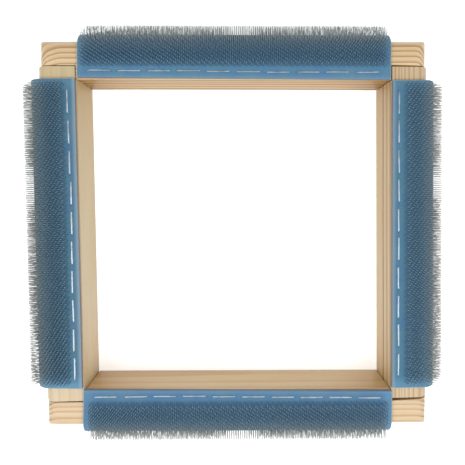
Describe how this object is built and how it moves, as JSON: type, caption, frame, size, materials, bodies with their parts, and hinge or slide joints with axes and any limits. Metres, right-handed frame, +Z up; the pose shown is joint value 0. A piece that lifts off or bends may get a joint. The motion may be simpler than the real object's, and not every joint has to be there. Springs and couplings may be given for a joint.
{
  "type": "punch needle frame",
  "caption": "Square pine frame whose bars carry wrapped strips of card clothing, set with bent steel pins that grip backing cloth for punch needle and rug hooking.",
  "frame": {"origin": "middle of the square opening, on the plane of the bars' undersides", "axes": "+Z up through the pins' side, +X to the right and +Y to the rear as pictured from above"},
  "size_m": [0.3766, 0.3766, 0.0559],
  "materials": {
    "pine": "bare planed pine",
    "card_cloth": "satin blue rubber face on woven plies",
    "card_pins": "drawn wire",
    "staple_wire": "bright galvanised wire",
    "screw_steel": "yellow zinc"
  },
  "bodies": {
    "root": {"rear_bar": "pine", "rear_card_cloth": "card_cloth", "rear_pin_field": "card_pins", "rear_staple_01": "staple_wire", "rear_staple_02": "staple_wire", "rear_staple_03": "staple_wire", "rear_staple_04": "staple_wire", "rear_staple_05": "staple_wire", "rear_staple_06": "staple_wire", "rear_staple_07": "staple_wire", "rear_staple_08": "staple_wire", "rear_staple_09": "staple_wire", "rear_staple_10": "staple_wire", "left_bar": "pine", "left_card_cloth": "card_cloth", "left_pin_field": "card_pins", "left_staple_01": "staple_wire", "left_staple_02": "staple_wire", "left_staple_03": "staple_wire", "left_staple_04": "staple_wire", "left_staple_05": "staple_wire", "left_staple_06": "staple_wire", "left_staple_07": "staple_wire", "left_staple_08": "staple_wire", "left_staple_09": "staple_wire", "left_staple_10": "staple_wire", "front_bar": "pine", "front_card_cloth": "card_cloth", "front_pin_field": "card_pins", "front_staple_01": "staple_wire", "front_staple_02": "staple_wire", "front_staple_03": "staple_wire", "front_staple_04": "staple_wire", "front_staple_05": "staple_wire", "front_staple_06": "staple_wire", "front_staple_07": "staple_wire", "front_staple_08": "staple_wire", "front_staple_09": "staple_wire", "front_staple_10": "staple_wire", "right_bar": "pine", "right_card_cloth": "card_cloth", "right_pin_field": "card_pins", "right_staple_01": "staple_wire", "right_staple_02": "staple_wire", "right_staple_03": "staple_wire", "right_staple_04": "staple_wire", "right_staple_05": "staple_wire", "right_staple_06": "staple_wire", "right_staple_07": "staple_wire", "right_staple_08": "staple_wire", "right_staple_09": "staple_wire", "right_staple_10": "staple_wire", "rear_left_screw_lower": "screw_steel", "rear_left_screw_upper": "screw_steel", "rear_right_screw_lower": "screw_steel", "rear_right_screw_upper": "screw_steel", "front_left_screw_lower": "screw_steel", "front_left_screw_upper": "screw_steel", "front_right_screw_lower": "screw_steel", "front_right_screw_upper": "screw_steel"}
  },
  "joints": []
}
